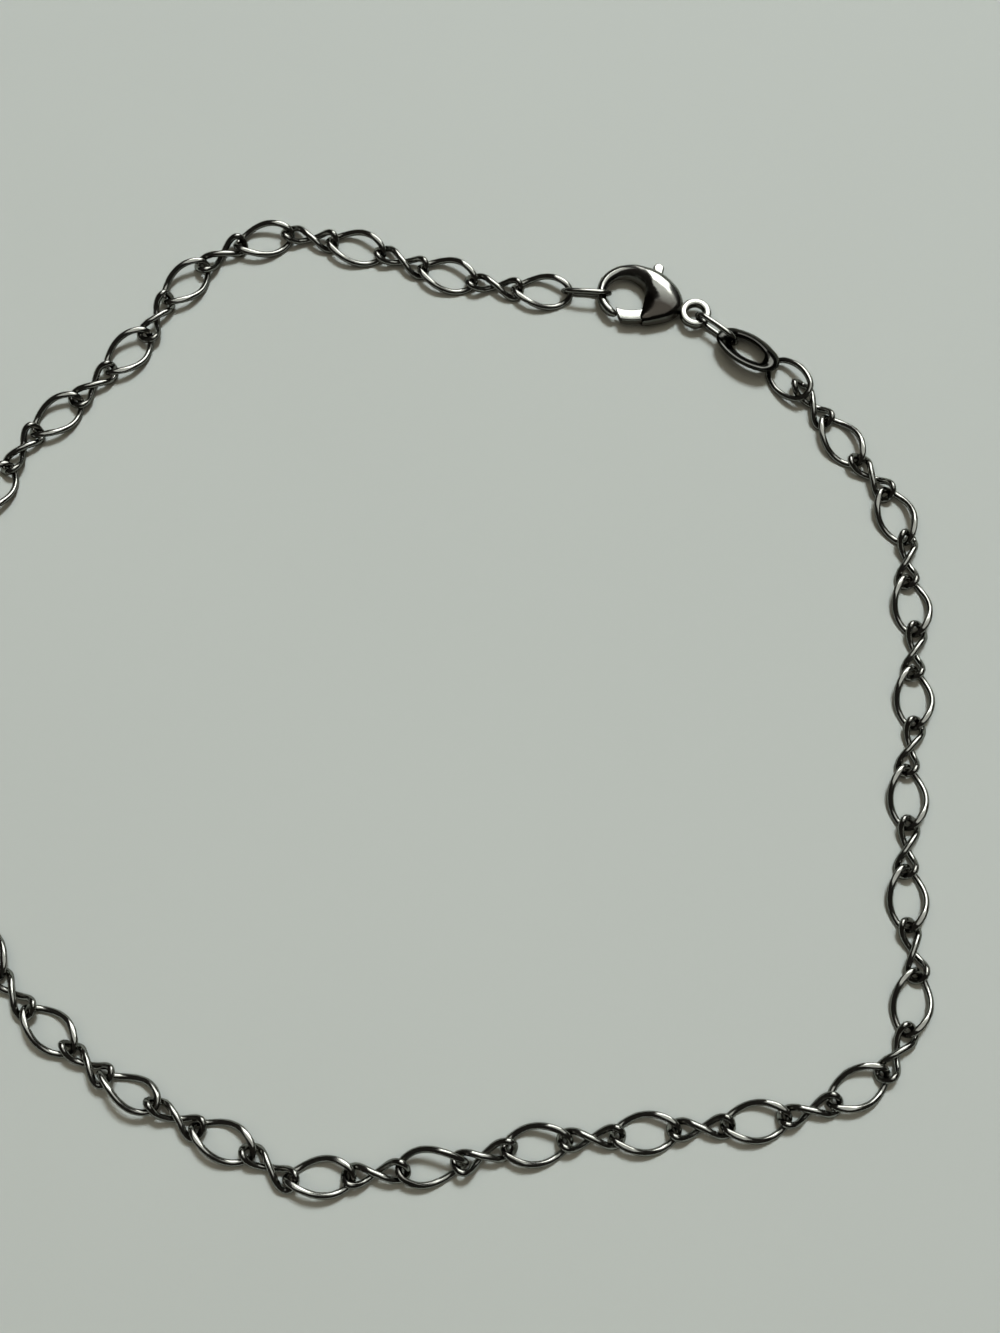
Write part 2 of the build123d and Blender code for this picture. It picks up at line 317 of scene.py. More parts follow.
def stand_for(piece, body, *nodes):
    """Puts a finished piece on its body in place of the CAD nodes."""
    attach(piece, body)
    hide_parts(*nodes)


# Wire shapes -------------------------------------------------------------------------------------
# Squareness of a section: 2 is an ellipse, and the larger it is, the squarer the corners
ROUND = 2.0
TAG_SQUARENESS = 2.2
EYE_SQUARENESS = 3.6
LEVER_SQUARENESS = 6.0
BOSS_SQUARENESS = 8.0


def unit(vectors):
    """Vectors scaled to length one."""
    return vectors / np.linalg.norm(vectors, axis=-1, keepdims=True)


def full_turn(steps):
    """Angles evenly spaced once round, without the last, which is the first again."""
    return np.linspace(0, 2 * math.pi, steps, endpoint=False)


def directions(angle):
    """Unit vectors in the X-Y plane at these angles from X."""
    return np.stack([np.cos(angle), np.sin(angle), np.zeros_like(angle)], 1)


def tube(line, side, radius, steps_round):
    """Round wire about a closed line.

    At each point of the line the circle lies square to the line; side, made square to the line, is
    where its angle starts. Returns points, angles round, and faces."""
    along = unit(np.roll(line, -1, 0) - np.roll(line, 1, 0))
    across = unit(side - (side * along).sum(1, keepdims=True) * along)
    up = np.cross(along, across)
    angle = full_turn(steps_round)[None, :, None]
    points = line[:, None] + radius * (np.cos(angle) * across[:, None] + np.sin(angle) * up[:, None])
    return points, grid_faces(len(line), steps_round, True, True)


def twisted_wire(along, width, angle, settings):
    """A link's wire: at each place along, its centre line lies a width away at an angle about X.

    Returns the wire's points, its centre line and its faces."""
    line = np.stack([along, width * np.cos(angle), width * np.sin(angle)], 1)
    side = np.stack([np.zeros_like(angle), -np.sin(angle), np.cos(angle)], 1)
    points, faces = tube(line, side, settings.wire / 2, settings.steps_round)
    return points, line, faces


def soft_limit(value, limit, rounding):
    """The value held between -limit and +limit, with the corner rounded off.

    The limit is approached as the logarithm of a sum of exponentials."""
    size = np.abs(value)
    held = -rounding * np.logaddexp(-size / rounding, -limit / rounding)
    return np.sign(value) * np.maximum(held, 0)


def oval_link(settings):
    """Twisted oval link.

    Its centre line is an ellipse whose width is turned about the long axis by an angle that grows
    evenly from the middle to each end; the wire is round, and ground flat top and bottom."""
    t = full_turn(settings.steps_along)
    x = np.cos(t)
    width = (settings.oval_width - settings.wire) / 2 * np.sin(t)
    points, line, faces = twisted_wire(
        (settings.oval_length - settings.wire) / 2 * x, width, settings.oval_twist * x, settings)
    points[..., 2] = soft_limit(points[..., 2], settings.oval_thickness / 2, settings.ground_edge)
    return Shape(points, faces, wear=joint_shade_and_tarnish(points, line)).facing_out()


def small_link(settings):
    """Figure-eight link.

    Its centre line is a loop with a narrow waist, whose width is on edge at the waist and turned
    about the long axis by a cubic of the distance from it, so each lobe leans half-way."""
    t = full_turn(settings.steps_along)
    x = np.cos(t)
    width = settings.small_waist / 2 * np.sin(t) * (1 + settings.small_belly * x**2)
    angle = math.pi / 2 + settings.small_twist * x * (3 - x**2) / 2
    points, line, faces = twisted_wire((settings.small_length - settings.wire) / 2 * x, width, angle, settings)
    return Shape(points, faces, wear=joint_shade_and_tarnish(points, line)).facing_out()


def joint_shade_and_tarnish(points, line):
    """Painted shade and tarnish of a link: 1 on the inner side of its ends, where the next link lies against
    it, fading to 0 elsewhere.

    It is the share of the wire's width towards the link's middle, times how near the end it is."""
    reach = np.abs(line[:, 0]).max()
    # painted shade, with tarnish, between this link and the next one
    near_end = np.clip((np.abs(line[:, 0]) / reach - 0.5) * 2.2, 0, 1)[:, None]
    offset = points - line[:, None]
    inward = -np.sign(line[:, None, 0]) * offset[..., 0]
    inward = inward / (np.abs(offset).max() + 1e-9)
    return near_end * np.clip(0.35 + 0.65 * inward, 0, 1)


def oval_path(half_length, half_width, bend, steps):
    """Closed outline in the X-Y plane of four arcs that meet in line: two ends and two long sides.

    The sides' radius is the one whose circle touches both end circles. Returns the points and the
    directions away from each arc's own centre."""
    reach = half_length - bend
    side = (reach**2 + half_width**2 - bend**2) / (2 * (half_width - bend))
    half_end = math.atan2(side - half_width, reach)
    arcs = [
        (reach, 0.0, bend, -half_end, half_end),
        (0.0, half_width - side, side, half_end, math.pi - half_end),
        (-reach, 0.0, bend, math.pi - half_end, math.pi + half_end),
        (0.0, side - half_width, side, math.pi + half_end, 2 * math.pi - half_end),
    ]
    points, outward = [], []
    for x, y, radius, start, end in arcs:
        angle = np.linspace(start, end, steps // 4, endpoint=False)
        away = directions(angle)
        points.append(np.array([x, y, 0.0]) + radius * away)
        outward.append(away)
    return np.concatenate(points), np.concatenate(outward)


def rounded_bar(angle, half_width, half_height, squareness):
    """Section between an ellipse (squareness 2) and a rectangle: powers of the cosine and sine."""
    power = 2 / squareness
    across = np.sign(np.cos(angle)) * np.abs(np.cos(angle)) ** power * half_width
    up = np.sign(np.sin(angle)) * np.abs(np.sin(angle)) ** power * half_height
    return across, up


def flat_ring(path, outward, half_width, half_height, squareness, steps_round):
    """Closed ring in the X-Y plane: a rounded bar section carried along a path, on its outward side."""
    across, up = rounded_bar(full_turn(steps_round), half_width, half_height, squareness)
    points = path[:, None] + across[None, :, None] * outward[:, None]
    points[..., 2] += up
    return points, grid_faces(len(path), steps_round, True, True)


def ring_like(node, wire, bend, steps_along=128, steps_round=20):
    """Ring of round wire along an oval path, the size of a CAD node and in its place.

    Its painted shade and tarnish grow towards the wire's inner side, by the cosine, and towards the ring's two
    ends."""
    centre, axes = own_axes(*triangles(node))
    half_length, half_width = (sizes_along(node, axes)[:2] - wire) / 2
    path, outward = oval_path(half_length, half_width, bend, steps_along)
    points, faces = flat_ring(path, outward, wire / 2, wire / 2, ROUND, steps_round)
    # painted shade, with tarnish, inside the ring's ends where the next parts lie
    inner = np.clip(0.5 - np.cos(full_turn(steps_round)), 0, 1)
    near_end = np.clip(np.abs(path[:, 0]) / half_length * 2.2 - 1.2, 0, 1)
    wear = near_end[:, None] * inner[None, :] * 0.8
    return Shape(points, faces, wear=wear).facing_out().placed(centre, axes)


def tag_link(settings, steps_along=160, steps_round=40):
    """Tag link: a domed band carried along an oval path, its face sloping evenly down across its width.

    The slope lowers each point by the tangent of its angle times how far the point lies in front of
    the band's middle line. Its painted shade grows towards the band's inner side, by the cosine."""
    centre, axes = own_axes(*triangles("tag_link"))
    half_length, half_width, half_height = sizes_along("tag_link", axes) / 2
    half_band = settings.tag_band / 2
    path, outward = oval_path(half_length - half_band, half_width - half_band, settings.tag_bend, steps_along)
    points, faces = flat_ring(path, outward, half_band, half_height, TAG_SQUARENESS, steps_round)
    # painted shade, darker towards the band's inner side
    wear = np.broadcast_to(np.clip(0.25 - 0.6 * np.cos(full_turn(steps_round)), 0, 0.7), points.shape[:2])
    points[..., 2] -= math.tan(settings.tag_slope) * (points - path[:, None])[..., 1]
    return Shape(points, faces, wear=wear.copy()).facing_out().placed(centre, upright(axes))


# Clasp shapes, in the clasp's own frame and in millimetres -----------------------------------------
PIVOT = np.array([2.60, -0.40])
EYE = np.array([5.68, -0.86, 0.0])
GATE_ARC = [(-1.30, -1.73), (0.55, -2.00), (2.45, -1.15)]   # middle line of the gate
NUB = np.array([2.26, 2.42])    # the nub's end lies a little past this, as seen from the pivot
NUB_PAST = 0.66
ARM_HALF_WIDTH = 0.35
NUB_SWELL = 0.11                # how much the nub is wider than its arm, each side
NUB_RADIUS = 0.42               # along the arm
NUB_ROUNDING = 0.40             # of the nub's end
BOSS_RADIUS = 0.49              # middle of the boss's wall
BOSS_HALF_WALL = 0.17
NOSE_STEPS, HEEL_STEPS = 12, 9  # sections over which the body's two ends are rounded off
END_PAINTED_SHADE = 0.3                  # in the middle of the body's two ends
FEWEST_BODY_FACES = 10000       # fewer than this means that a cut has failed
# Clasp's body on rays from the middle of its opening: angle, inner radius, outer radius, half height,
# and the place of its ridge from the inner edge (0) to the outer (1)
BODY_RAYS = [
    (255, 1.70, 2.40, 0.43, 0.50),
    (225, 1.69, 2.41, 0.46, 0.50),
    (195, 1.68, 2.42, 0.48, 0.50),
    (165, 1.65, 2.45, 0.50, 0.50),
    (135, 1.60, 2.50, 0.54, 0.52),
    (105, 1.54, 2.57, 0.64, 0.54),
    (85, 1.48, 2.66, 0.78, 0.56),
    (65, 1.46, 2.84, 0.94, 0.48),
    (47, 1.47, 3.16, 1.09, 0.46),
    (28, 1.47, 3.66, 1.17, 0.42),
    (14, 1.47, 4.14, 1.15, 0.42),
    (4, 1.47, 4.46, 1.08, 0.44),
    (-3, 1.47, 4.60, 1.01, 0.47),
    (-9, 1.45, 4.60, 0.94, 0.51),
    (-15, 1.42, 4.46, 0.87, 0.55),
    (-23, 1.40, 4.14, 0.79, 0.60),
    (-32, 1.46, 3.72, 0.71, 0.64),
    (-42, 1.66, 3.34, 0.64, 0.63),
    (-52, 2.02, 3.08, 0.59, 0.58),
    (-58, 2.38, 2.92, 0.54, 0.50),
]
SLOT_OUTLINE = [
    (0.60, -2.68), (1.55, -2.50), (2.30, -2.08), (3.05, -1.36), (3.44, -0.60), (3.46, 0.00), (3.55, 0.70),
    (3.98, 2.40), (3.60, 3.10), (1.68, 3.10), (1.72, 1.60), (1.78, 0.20), (1.30, -0.30), (0.60, -0.50),
]


def smooth_through(rows, count):
    """Rows of a table joined by a smooth curve: at each row its slope is that of its two neighbours.

    Between rows it is the cubic that keeps the values and slopes at both."""
    table = np.array(rows, float)
    slopes = np.gradient(table, axis=0)
    place = np.linspace(0, len(table) - 1, count)
    i = np.minimum(place.astype(int), len(table) - 2)
    f = (place - i)[:, None]
    return ((2 * f**3 - 3 * f**2 + 1) * table[i] + (f**3 - 2 * f**2 + f) * slopes[i]
            + (3 * f**2 - 2 * f**3) * table[i + 1] + (f**3 - f**2) * slopes[i + 1])


def hook_and_bulb(steps_along=300, steps_round=72):
    """Clasp's cast body without its eye.

    On each ray from the middle of the opening the section runs from the inner to the outer radius; its
    height is the half height times a power of the sine of an angle, a lower one on the bulb, which is
    flatter on top. Its share of the way out is half of one minus the cosine, plus a parabola that moves
    the ridge. Both ends are rounded off by quarter ellipses. Its painted shade falls off from the inner
    edge, and grows on the bulb towards the gate, which darkens the bulb's lower left."""
    rays = smooth_through(BODY_RAYS, steps_along)
    ray, inner, outer, height, ridge = (column[:, None] for column in rays.T)
    count = np.arange(steps_along)[:, None]
    nose = np.sqrt(1 - (1 - np.clip(count / NOSE_STEPS, 0, 1)) ** 2 * 0.98)
    heel = np.sqrt(1 - (1 - np.clip((steps_along - 1 - count) / HEEL_STEPS, 0, 1)) ** 2 * 0.9)
    middle = (inner + outer) / 2
    inner, outer = middle + (inner - middle) * nose, middle + (outer - middle) * nose
    angle = full_turn(steps_round)[None, :]
    across = (1 - np.cos(angle)) / 2
    across = across + 4 * (ridge - 0.5) * across * (1 - across)
    radius = inner + (outer - inner) * across
    power = 0.85 - 0.17 * np.clip((75 - ray) / 40, 0, 1)
    z = height * nose * heel * np.sign(np.sin(angle)) * np.abs(np.sin(angle)) ** power
    points = np.stack([radius * np.cos(np.radians(ray)), radius * np.sin(np.radians(ray)), z], -1)
    # painted shade: darker near the inner edge and on the bulb's lower left, towards the gate
    near_gate = np.clip((6 - ray) / 26, 0, 1) * np.clip(2.0 - across * 1.3, 0, 1)
    wear = np.clip(0.9 - across * 3.2, 0, 0.8) + 1.1 * near_gate
    return closed_bar(points, wear)


def clasp_eye(settings, steps_along=96, steps_round=32):
    """Clasp's eye: a nearly square section carried round a circle."""
    outer, hole = settings.eye_outer / MM, settings.eye_hole / MM
    away = directions(full_turn(steps_along))
    path = EYE + away * (outer + hole) / 2
    points, faces = flat_ring(
        path, away, (outer - hole) / 2, settings.eye_thickness / MM / 2, EYE_SQUARENESS, steps_round)
    return Shape(points, faces).facing_out()


def arc_through(start, middle, end):
    """Centre and radius of the circle through three points."""
    (ax, ay), (bx, by), (cx, cy) = start, middle, end
    twice = 2 * (ax * (by - cy) + bx * (cy - ay) + cx * (ay - by))
    a, b, c = ax**2 + ay**2, bx**2 + by**2, cx**2 + cy**2
    x = (a * (by - cy) + b * (cy - ay) + c * (ay - by)) / twice
    y = (a * (cx - bx) + b * (ax - cx) + c * (bx - ax)) / twice
    return np.array([x, y]), math.hypot(ax - x, ay - y)


def gate(settings, steps_along=48, steps_round=40):
    """Lever's gate: a rounded bar section carried along an arc of a circle.

    Its free end is cut to a circle about the pivot: on each strip of the bar the arc starts where the
    two circles cross, by the law of cosines. Its heel lies inside the bulb."""
    centre, radius = arc_through(*GATE_ARC)
    half_width, half_height = settings.gate_width / MM / 2, settings.lever_thickness / MM / 2
    across, up = rounded_bar(full_turn(steps_round), half_width, half_height, LEVER_SQUARENESS)
    strip = radius - across
    apart = np.linalg.norm(PIVOT - centre)
    reach = settings.gate_reach / MM
    to_pivot = math.atan2(*(PIVOT - centre)[::-1])
    start = to_pivot - np.arccos((apart**2 + strip**2 - reach**2) / (2 * apart * strip))
    heel = math.atan2(GATE_ARC[2][1] - centre[1], GATE_ARC[2][0] - centre[0])
    share_along = np.linspace(0, 1, steps_along)[:, None]
    turn_to = start[None, :] + (heel - start[None, :]) * share_along
    x, y = centre[0] + strip * np.cos(turn_to), centre[1] + strip * np.sin(turn_to)
    return closed_bar(np.stack([x, y, np.broadcast_to(up, x.shape)], -1))


def nub_arm(settings, steps_along=40, steps_round=40):
    """Lever's arm from the pivot to the thumb nub: a rounded bar along a line, swelling to a round end.

    The steps lie closer together towards the nub. The swelling rises and falls evenly about the nub's
    middle, and the end is rounded off by a quarter circle."""
    direction = (NUB - PIVOT) / np.linalg.norm(NUB - PIVOT)
    end = NUB + direction * NUB_PAST
    line = PIVOT + (end - PIVOT) * np.linspace(0, 1, steps_along)[:, None] ** 0.6
    to_end = np.linalg.norm(end - line, axis=1)
    half = ARM_HALF_WIDTH + NUB_SWELL * np.clip(1 - np.abs(to_end - NUB_RADIUS) / NUB_RADIUS, 0, 1)
    rounding = np.sqrt(np.clip(1 - (1 - np.clip(to_end / NUB_ROUNDING, 0, 1)) ** 2, 0.004, 1))
    across, up = rounded_bar(full_turn(steps_round), 1.0, settings.lever_thickness / MM / 2, LEVER_SQUARENESS)
    square = np.array([direction[1], -direction[0]])
    flat = line[:, None] + (half * rounding)[:, None, None] * across[None, :, None] * square
    height = up[None, :] * (0.80 + 0.20 * rounding[:, None])
    return closed_bar(np.concatenate([flat, height[..., None]], -1))


def closed_bar(points, wear=None):
    """Grid of rings along a bar as a shape, each end closed by a fan about its middle."""
    rows, columns = points.shape[:2]
    total = rows * columns
    ends = np.stack([points[0].mean(0), points[-1].mean(0)])
    if wear is not None:
        wear = np.append(wear, [END_PAINTED_SHADE, END_PAINTED_SHADE])
    caps = np.concatenate([
        cap_faces(np.arange(columns), total, False),
        cap_faces(np.arange(columns) + total - columns, total + 1, True),
    ])
    quads = grid_faces(rows, columns, False, True)
    return Shape(np.concatenate([points.reshape(-1, 3), ends]), quads, caps, wear).facing_out()


def boss(settings, steps_along=64, steps_round=24):
    """Lever's round boss on the pin, with the pin's hole: a nearly square section round a circle."""
    away = directions(full_turn(steps_along))
    path = np.array([*PIVOT, 0.0]) + away * BOSS_RADIUS
    points, faces = flat_ring(
        path, away, BOSS_HALF_WALL, settings.lever_thickness / MM / 2, BOSS_SQUARENESS, steps_round)
    return Shape(points, faces).facing_out()


def slot_prism(settings):
    """Solid that is cut from the bulb for the lever: the slot's outline carried straight up."""
    outline = np.array(SLOT_OUTLINE)
    half = settings.slot_width / MM / 2
    low = np.column_stack([outline, np.full(len(outline), -half)])
    high = np.column_stack([outline, np.full(len(outline), half)])
    return closed_bar(np.stack([low, high]))


def clasp_place(settings):
    """Centre and axes that put the clasp's own frame, in millimetres, where the CAD pin says."""
    low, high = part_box("clasp_pin")
    pin = np.array((low + high) / 2)
    cos, sin = math.cos(settings.heading), math.sin(settings.heading)
    axes = np.array([[cos, -sin, 0.0], [sin, cos, 0.0], [0.0, 0.0, 1.0]])
    centre = pin - axes @ np.array([*PIVOT, 0.0]) * MM
    return centre, axes * MM


# Materials ---------------------------------------------------------------------------------------
def node(tree, kind, **values):
    """Adds a shader node and sets its properties."""
    made = tree.nodes.new(kind)
    for key, value in values.items():
        setattr(made, key, value)
    return made


def metal(name, settings, painted_shade_scale=1.0, roughness_change=0.0):
    """Polished silver: patches dulled by handling, fine polishing marks, and painted shade with tarnish where
    wear says.
    """
    material = bpy.data.materials.new(name)
    material.use_nodes = True
    tree = material.node_tree
    shader = tree.nodes["Principled BSDF"]
    shader.inputs["Metallic"].default_value = 1.0
    shader.inputs["Specular Tint"].default_value = (0.55, 0.54, 0.52, 1.0)
    place = node(tree, "ShaderNodeTexCoord")
    wear = node(tree, "ShaderNodeAttribute", attribute_name="wear")
    patches = node(tree, "ShaderNodeTexNoise")
    patches.inputs["Scale"].default_value = 900.0
    patches.inputs["Detail"].default_value = 3.0
    marks = node(tree, "ShaderNodeTexNoise")
    marks.inputs["Scale"].default_value = 14000.0
    marks.inputs["Detail"].default_value = 2.0
    for texture in (patches, marks):
        tree.links.new(place.outputs["Object"], texture.inputs["Vector"])
    # painted shade and tarnish: the wear attribute, broken up by the patches
    broken = node(tree, "ShaderNodeMath", operation="MULTIPLY_ADD", use_clamp=True)
    tree.links.new(patches.outputs["Fac"], broken.inputs[0])
    broken.inputs[1].default_value = 0.9
    broken.inputs[2].default_value = -0.45
    amount = node(tree, "ShaderNodeMath", operation="ADD", use_clamp=True)
    tree.links.new(wear.outputs["Fac"], amount.inputs[0])
    tree.links.new(broken.outputs[0], amount.inputs[1])
    # the metal's colours, scaled down by painted_shade_scale where a copy is painted darker as shade
    tint = node(tree, "ShaderNodeMix", data_type="RGBA")
    tint.inputs[6].default_value = (*[c * painted_shade_scale for c in settings.metal], 1.0)
    tint.inputs[7].default_value = (*[c * painted_shade_scale for c in settings.shade_and_tarnish], 1.0)
    tree.links.new(amount.outputs[0], tint.inputs[0])
    tree.links.new(tint.outputs[2], shader.inputs["Base Color"])
    polish = node(tree, "ShaderNodeMapRange")
    polish.inputs["From Min"].default_value = 0.3
    polish.inputs["From Max"].default_value = 0.75
    polish.inputs["To Min"].default_value = settings.polish + roughness_change
    polish.inputs["To Max"].default_value = settings.handling + roughness_change
    tree.links.new(patches.outputs["Fac"], polish.inputs["Value"])
    tree.links.new(polish.outputs["Result"], shader.inputs["Roughness"])
    bump = node(tree, "ShaderNodeBump")
    bump.inputs["Strength"].default_value = 0.12
    bump.inputs["Distance"].default_value = 0.00002
    tree.links.new(marks.outputs["Fac"], bump.inputs["Height"])
    tree.links.new(bump.outputs["Normal"], shader.inputs["Normal"])
    return material


def floor_material(settings):
    """Matt pale surface with hardly seen unevenness of tone."""
    material = bpy.data.materials.new("pale_floor")
    material.use_nodes = True
    tree = material.node_tree
    shader = tree.nodes["Principled BSDF"]
    shader.inputs["Roughness"].default_value = 0.9
    shader.inputs["Specular IOR Level"].default_value = 0.15
    place = node(tree, "ShaderNodeTexCoord")
    tone = node(tree, "ShaderNodeTexNoise")
    tone.inputs["Scale"].default_value = 14.0
    tree.links.new(place.outputs["Object"], tone.inputs["Vector"])
    tint = node(tree, "ShaderNodeMix", data_type="RGBA")
    tint.inputs[6].default_value = (*[c * 0.96 for c in settings.floor], 1.0)
    tint.inputs[7].default_value = (*[c * 1.03 for c in settings.floor], 1.0)
    tree.links.new(tone.outputs["Fac"], tint.inputs[0])
    tree.links.new(tint.outputs[2], shader.inputs["Base Color"])
    return material


def shared_metal(name):
    """The named metal, made the first time it is asked for."""
    settings = bpy.context.scene.anklet_finish
    kinds = {
        "silver_wire": dict(),
        "silver_cast": dict(roughness_change=0.03),
        # painted shade: the tag is the same silver, painted at 0.17 of its brightness
        "silver_tag": dict(painted_shade_scale=0.17, roughness_change=0.02),
    }
    return bpy.data.materials.get(name) or metal(name, settings, **kinds[name])


# Operators ---------------------------------------------------------------------------------------
class ANKLET_OT_oval_links(bpy.types.Operator):
    """Makes the twisted oval links."""

    bl_idname = "anklet.oval_links"
    bl_label = "Oval links"

    def execute(self, context):
        shape = oval_link(context.scene.anklet_chain)
        for name in OVAL_NODES:
            centre, axes = own_axes(*triangles(name))
            piece = add_object("silver_" + name, shape.placed(centre, axes), shared_metal("silver_wire"))
            stand_for(piece, CHAIN_BODY, name)
        return {"FINISHED"}


class ANKLET_OT_small_links(bpy.types.Operator):
    """Makes the figure-eight links, a few in one piece as in the frame."""

    bl_idname = "anklet.small_links"
    bl_label = "Small links"

    def execute(self, context):
        shape = small_link(context.scene.anklet_chain)
        centres = np.array([own_axes(*triangles(name))[0] for name in ["end_ring"] + OVAL_NODES])
        gaps = (centres[:-1] + centres[1:]) / 2
        made = 0
        for name in SMALL_NODES:
            middles, areas = triangles(name)
            nearest = np.linalg.norm(middles[:, None] - gaps[None], axis=2).argmin(1)
            links = []
            for gap in np.unique(nearest):
                own = nearest == gap
                centre, axes = own_axes(middles[own], areas[own])
                lean = lean_of_lobes(middles[own], areas[own], centre, axes)
                links.append(shape.placed(centre, turned(axes, lean)))
            made += len(links)
            piece = add_object("silver_" + name, joined(links), shared_metal("silver_wire"))
            stand_for(piece, CHAIN_BODY, name)
        if made != len(OVAL_NODES):
            raise RuntimeError(f"{made} small links for {len(OVAL_NODES)} oval links")
        return {"FINISHED"}


class ANKLET_OT_rings(bpy.types.Operator):
    """Makes the three rings between the chain and the clasp."""

    bl_idname = "anklet.rings"
    bl_label = "Rings"

    def execute(self, context):
        sizes = context.scene.anklet_rings
        for name in ("hook_ring", "eye_ring", "end_ring"):
            shape = ring_like(name, getattr(sizes, name + "_wire"), getattr(sizes, name + "_bend"))
            stand_for(add_object("silver_" + name, shape, shared_metal("silver_wire")), CHAIN_BODY, name)
        return {"FINISHED"}


class ANKLET_OT_tag_link(bpy.types.Operator):
    """Makes the plain domed tag link."""

    bl_idname = "anklet.tag_link"
    bl_label = "Tag link"

    def execute(self, context):
        shape = tag_link(context.scene.anklet_rings)
        stand_for(add_object("silver_tag_link", shape, shared_metal("silver_tag")), CHAIN_BODY, "tag_link")
        return {"FINISHED"}


class ANKLET_OT_clasp_body(bpy.types.Operator):
    """Makes the clasp's cast body with its slot and eye."""

    bl_idname = "anklet.clasp_body"
    bl_label = "Clasp body"

    def execute(self, context):
        sizes = context.scene.anklet_clasp
        centre, axes = clasp_place(sizes)
        cast = shared_metal("silver_cast")
        body = add_object("silver_clasp_body", hook_and_bulb(), cast)
        cutter = add_object("slot_cutter", slot_prism(sizes), cast)
        eye = add_object("clasp_eye", clasp_eye(sizes), cast)
        for tool, operation in ((cutter, "DIFFERENCE"), (eye, "UNION")):
            change = body.modifiers.new(operation, "BOOLEAN")
            change.object, change.operation, change.solver = tool, operation, "MANIFOLD"
        finished = bpy.data.meshes.new_from_object(body.evaluated_get(context.evaluated_depsgraph_get()))
        body.modifiers.clear()
        body.data = finished
        for tool in (cutter, eye):
            bpy.data.objects.remove(tool)
        if len(finished.polygons) < FEWEST_BODY_FACES:
            raise RuntimeError("the clasp's body came out empty")
        place = Matrix(axes.tolist()).to_4x4()
        place.translation = centre
        finished.transform(place)
        finished.polygons.foreach_set("use_smooth", np.ones(len(finished.polygons), bool))
        finished.set_sharp_from_angle(angle=math.radians(40))
        paint_shade_below(finished)
        stand_for(body, CHAIN_BODY, "clasp_body")
        return {"FINISHED"}


class ANKLET_OT_clasp_lever(bpy.types.Operator):
    """Makes the clasp's lever: its gate, boss and thumb nub."""

    bl_idname = "anklet.clasp_lever"
    bl_label = "Clasp lever"

    def execute(self, context):
        sizes = context.scene.anklet_clasp
        centre, axes = clasp_place(sizes)
        shape = joined([gate(sizes), nub_arm(sizes), boss(sizes)]).placed(centre, axes)
        lever = add_object("silver_clasp_lever", shape, shared_metal("silver_cast"))
        lever.data.set_sharp_from_angle(angle=math.radians(50))
        stand_for(lever, LEVER_BODY, "clasp_lever")
        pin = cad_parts["clasp_pin"]
        pin.data.materials.clear()
        pin.data.materials.append(shared_metal("silver_wire"))
        return {"FINISHED"}


class ANKLET_OT_stage(bpy.types.Operator):
    """Makes the floor, the lights and the camera."""

    bl_idname = "anklet.stage"
    bl_label = "Stage"

    def execute(self, context):
        scene, sizes = context.scene, context.scene.anklet_stage
        middle = Vector((VIEW_MIDDLE[0] * MM, VIEW_MIDDLE[1] * MM, 0.0))
        corners = np.array([(-1, -1, 0), (1, -1, 0), (1, 1, 0), (-1, 1, 0)]) * FLOOR_HALF_SIDE
        floor = add_object("floor", Shape(corners, np.array([[0, 1, 2, 3]])), floor_material(sizes))
        world = bpy.data.worlds.new("soft_room")
        world.use_nodes = True
        world.node_tree.nodes["Background"].inputs[0].default_value = (1.0, 0.90, 0.79, 1.0)
        world.node_tree.nodes["Background"].inputs[1].default_value = sizes.sky
        scene.world = world
        for name, direction, distance, size, tint, mirrored in LIGHTS:
            lamp = self.area(name, middle, direction, distance, size, getattr(sizes, name), tint)
            lamp.visible_diffuse, lamp.visible_glossy = not mirrored, mirrored
        camera = bpy.data.cameras.new("camera")
        camera.lens = sizes.lens
        camera.sensor_width = SENSOR_WIDTH
        camera.clip_start = NEAREST_SEEN
        eye = bpy.data.objects.new("camera", camera)
        scene.collection.objects.link(eye)
        back = Vector((0.0, -math.sin(sizes.tilt), math.cos(sizes.tilt)))
        eye.location = middle + back * sizes.distance
        eye.rotation_euler = (sizes.tilt, 0.0, 0.0)
        scene.camera = eye
        scene.view_settings.view_transform = "Standard"
        return {"FINISHED"}

    def area(self, name, target, direction, distance, size, power, tint):
        """Soft light of a width and height at a distance along a direction from the target, facing it."""
        lamp = bpy.data.lights.new(name, "AREA")
        lamp.shape = "RECTANGLE"
        (lamp.size, lamp.size_y), lamp.energy, lamp.color = size, power, tint
        place = bpy.data.objects.new(name, lamp)
        bpy.context.scene.collection.objects.link(place)
        away = Vector(direction).normalized()
        place.location = target + away * distance
        place.rotation_euler = away.to_track_quat("Z", "Y").to_euler()
        return place


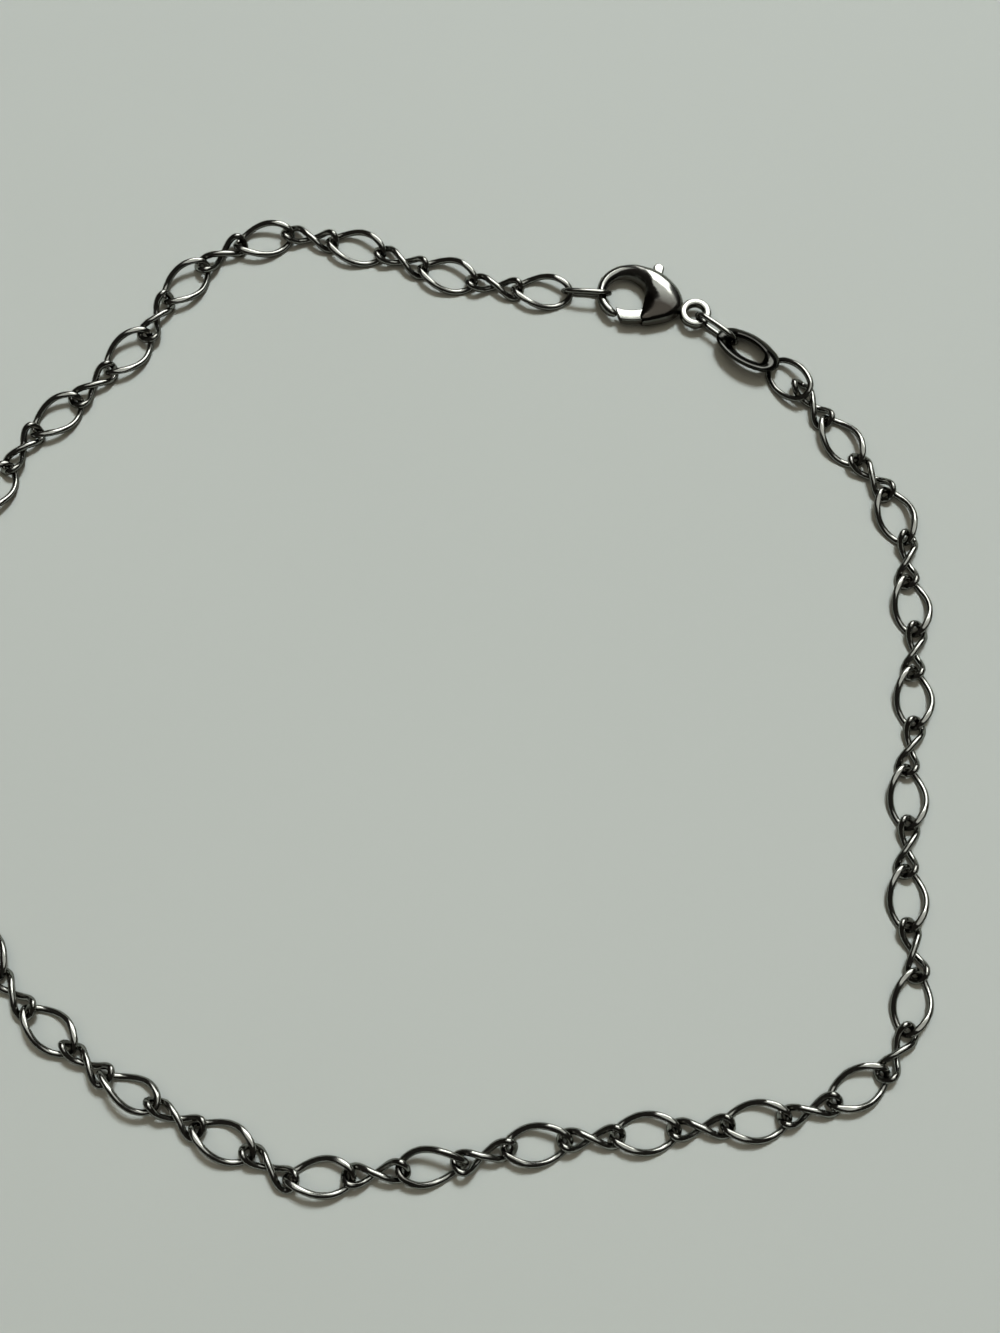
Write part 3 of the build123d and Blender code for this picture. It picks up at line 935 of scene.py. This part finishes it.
# Name, direction from the middle of the floor, distance and size in metres, tint, and whether it is only
# mirrored in the metal (True) or only lights what is matt (False)
LIGHTS = [
    ("key", (0.11, 0.28, 0.95), 0.70, (0.13, 0.13), (0.90, 0.955, 1.0), False),
    ("fill", (0.0, 0.0, 1.0), 0.80, (1.0, 1.0), (1.0, 0.89, 0.72), False),
    ("window", (0.24, 0.74, 0.62), 0.70, (0.44, 0.56), (1.0, 1.0, 0.985), True),
    ("ceiling", (0.20, 0.26, 0.95), 0.70, (0.75, 0.58), (1.0, 1.0, 0.97), True),
]

SETTINGS = {
    "anklet_chain": AnkletChainSettings,
    "anklet_rings": AnkletRingSettings,
    "anklet_clasp": AnkletClaspSettings,
    "anklet_finish": AnkletFinishSettings,
    "anklet_stage": AnkletStageSettings,
}
OPERATORS = [
    ANKLET_OT_oval_links,
    ANKLET_OT_small_links,
    ANKLET_OT_rings,
    ANKLET_OT_tag_link,
    ANKLET_OT_clasp_body,
    ANKLET_OT_clasp_lever,
    ANKLET_OT_stage,
]


class ANKLET_PT_panel(bpy.types.Panel):
    """Lists the anklet's settings and steps in the sidebar."""

    bl_idname = "ANKLET_PT_panel"
    bl_label = "Chain anklet"
    bl_space_type = "VIEW_3D"
    bl_region_type = "UI"
    bl_category = "Anklet"

    def draw(self, context):
        for name, group in SETTINGS.items():
            box = self.layout.box()
            box.label(text=name.replace("anklet_", "").capitalize())
            for key in group.__annotations__:
                box.prop(getattr(context.scene, name), key)
        for operator in OPERATORS:
            self.layout.operator(operator.bl_idname)


def register():
    """Registers every class and hangs the settings on the scene."""
    for group in SETTINGS.values():
        bpy.utils.register_class(group)
    for operator in OPERATORS:
        bpy.utils.register_class(operator)
    bpy.utils.register_class(ANKLET_PT_panel)
    for name, group in SETTINGS.items():
        setattr(bpy.types.Scene, name, bpy.props.PointerProperty(type=group))


def unregister():
    """Takes the settings off the scene and unregisters every class."""
    for name in SETTINGS:
        delattr(bpy.types.Scene, name)
    bpy.utils.unregister_class(ANKLET_PT_panel)
    for operator in reversed(OPERATORS):
        bpy.utils.unregister_class(operator)
    for group in SETTINGS.values():
        bpy.utils.unregister_class(group)


def main():
    """Registers the add-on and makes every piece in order."""
    register()
    for operator in OPERATORS:
        group, step = operator.bl_idname.split(".")
        getattr(getattr(bpy.ops, group), step)()
    bpy.context.view_layer.update()


if __name__ == "__main__":
    main()
